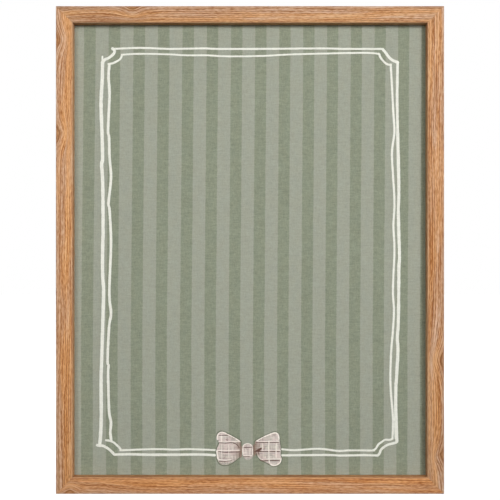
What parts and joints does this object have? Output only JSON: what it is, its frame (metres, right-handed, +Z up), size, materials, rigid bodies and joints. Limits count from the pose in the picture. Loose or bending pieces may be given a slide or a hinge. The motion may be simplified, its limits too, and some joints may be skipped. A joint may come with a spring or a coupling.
{
  "type": "memo board",
  "caption": "Framed fabric pin board with a mitred wooden moulding, printed canvas over a soft core, a hardboard back held by turn buttons, and D-ring wall hangers.",
  "frame": {"origin": "on the wall plane, midway between the two hooks that the hanging rings rest on", "axes": "+Z up, front of the board faces -Y, the wall is the plane Y = 0 with +Y into the wall, +X to the right seen from the front"},
  "size_m": [0.39, 0.0244, 0.49],
  "materials": {
    "oak": "satin",
    "printed_canvas": "matte",
    "softboard": "matte",
    "hardboard": "matte",
    "zinc_steel": "satin",
    "rubber": "matte"
  },
  "bodies": {
    "board": {"frame_top_rail": "oak", "frame_right_stile": "oak", "frame_bottom_rail": "oak", "frame_left_stile": "oak", "corner_nail_top_left": "zinc_steel", "corner_nail_top_right": "zinc_steel", "corner_nail_bottom_left": "zinc_steel", "corner_nail_bottom_right": "zinc_steel", "printed_fabric": "printed_canvas", "pin_board_core": "softboard", "back_panel": "hardboard", "turn_button_screw_top": "zinc_steel", "turn_button_screw_bottom": "zinc_steel", "turn_button_screw_left_upper": "zinc_steel", "turn_button_screw_left_lower": "zinc_steel", "turn_button_screw_right_upper": "zinc_steel", "turn_button_screw_right_lower": "zinc_steel", "hanger_strap_left": "zinc_steel", "hanger_screw_left": "zinc_steel", "hanger_strap_right": "zinc_steel", "hanger_screw_right": "zinc_steel", "wall_bumper_left": "rubber", "wall_bumper_right": "rubber"},
    "turn_button_top": {"turn_button_top": "zinc_steel"},
    "turn_button_bottom": {"turn_button_bottom": "zinc_steel"},
    "turn_button_left_upper": {"turn_button_left_upper": "zinc_steel"},
    "turn_button_left_lower": {"turn_button_left_lower": "zinc_steel"},
    "turn_button_right_upper": {"turn_button_right_upper": "zinc_steel"},
    "turn_button_right_lower": {"turn_button_right_lower": "zinc_steel"},
    "hanger_ring_left": {"hanger_ring_left": "zinc_steel"},
    "hanger_ring_right": {"hanger_ring_right": "zinc_steel"}
  },
  "joints": [
    {"name": "turn_button_top_turn", "type": "hinge", "parent": "board", "child": "turn_button_top", "pos_m": [0, -0.0045, 0.064], "axis": [0, 1, 0], "continuous": true},
    {"name": "turn_button_bottom_turn", "type": "hinge", "parent": "board", "child": "turn_button_bottom", "pos_m": [0, -0.0045, -0.414], "axis": [0, 1, 0], "continuous": true},
    {"name": "turn_button_left_upper_turn", "type": "hinge", "parent": "board", "child": "turn_button_left_upper", "pos_m": [-0.189, -0.0045, -0.06], "axis": [0, 1, 0], "continuous": true},
    {"name": "turn_button_left_lower_turn", "type": "hinge", "parent": "board", "child": "turn_button_left_lower", "pos_m": [-0.189, -0.0045, -0.29], "axis": [0, 1, 0], "continuous": true},
    {"name": "turn_button_right_upper_turn", "type": "hinge", "parent": "board", "child": "turn_button_right_upper", "pos_m": [0.189, -0.0045, -0.06], "axis": [0, 1, 0], "continuous": true},
    {"name": "turn_button_right_lower_turn", "type": "hinge", "parent": "board", "child": "turn_button_right_lower", "pos_m": [0.189, -0.0045, -0.29], "axis": [0, 1, 0], "continuous": true},
    {"name": "hanger_ring_left_swing", "type": "hinge", "parent": "board", "child": "hanger_ring_left", "pos_m": [-0.189, -0.00245, -0.00861], "axis": [-1, 0, 0], "range_deg": [0, 180]},
    {"name": "hanger_ring_right_swing", "type": "hinge", "parent": "board", "child": "hanger_ring_right", "pos_m": [0.189, -0.00245, -0.00861], "axis": [-1, 0, 0], "range_deg": [0, 180]}
  ]
}
